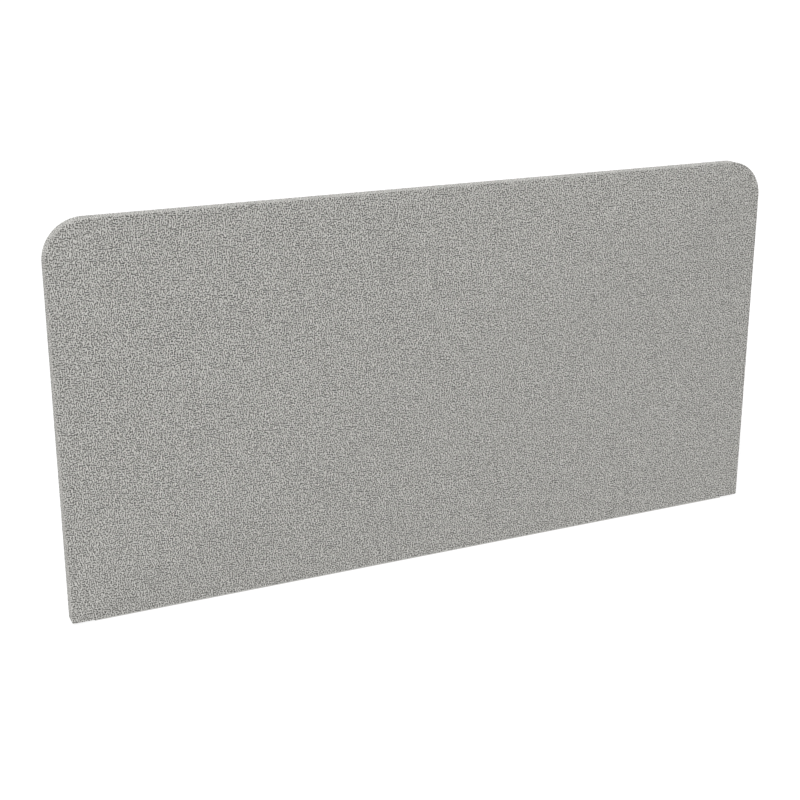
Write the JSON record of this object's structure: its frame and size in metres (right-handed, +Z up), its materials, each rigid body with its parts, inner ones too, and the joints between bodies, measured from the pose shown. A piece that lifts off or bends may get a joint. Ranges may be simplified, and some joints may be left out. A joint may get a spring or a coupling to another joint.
{
  "type": "desk divider screen",
  "caption": "Fabric-covered acoustic desk divider screen with rounded top corners, a timber frame inside, and a slotted aluminium track below for desk brackets.",
  "frame": {"origin": "middle of the mounting track's underside, below the middle of the panel", "axes": "+X along the panel's width, +Y from its front face to its rear face, +Z up"},
  "size_m": [1.6, 0.03, 0.803],
  "materials": {
    "cover_fabric": "matte",
    "liner_felt": "matte",
    "edge_wadding": "matte",
    "core_softboard": "matte",
    "frame_timber": "matte",
    "tenon_beech": "matte",
    "staple_steel": "satin",
    "track_aluminium": "satin",
    "end_cap_plastic": "matte",
    "screw_steel": "satin",
    "nut_plate_steel": "satin"
  },
  "bodies": {
    "screen": {"front_cover": "cover_fabric", "rear_cover": "cover_fabric", "edge_strip": "cover_fabric", "front_liner": "liner_felt", "rear_liner": "liner_felt", "edge_wadding": "edge_wadding", "left_core_pad": "core_softboard", "right_core_pad": "core_softboard", "bottom_rail": "frame_timber", "top_rail": "frame_timber", "left_stile": "frame_timber", "right_stile": "frame_timber", "centre_stile": "frame_timber", "left_corner_block": "frame_timber", "right_corner_block": "frame_timber", "frame_tenons": "tenon_beech", "hem_staples": "staple_steel", "mounting_track": "track_aluminium", "left_end_cap": "end_cap_plastic", "right_end_cap": "end_cap_plastic", "track_screws": "screw_steel"},
    "left_nut_plate": {"left_nut_plate": "nut_plate_steel"},
    "right_nut_plate": {"right_nut_plate": "nut_plate_steel"}
  },
  "joints": [
    {"name": "left_nut_slide", "type": "slide", "parent": "screen", "child": "left_nut_plate", "axis": [1, 0, 0], "range_m": [-0.1107, 0.56985]},
    {"name": "right_nut_slide", "type": "slide", "parent": "screen", "child": "right_nut_plate", "axis": [1, 0, 0], "range_m": [-0.56985, 0.1107]}
  ]
}
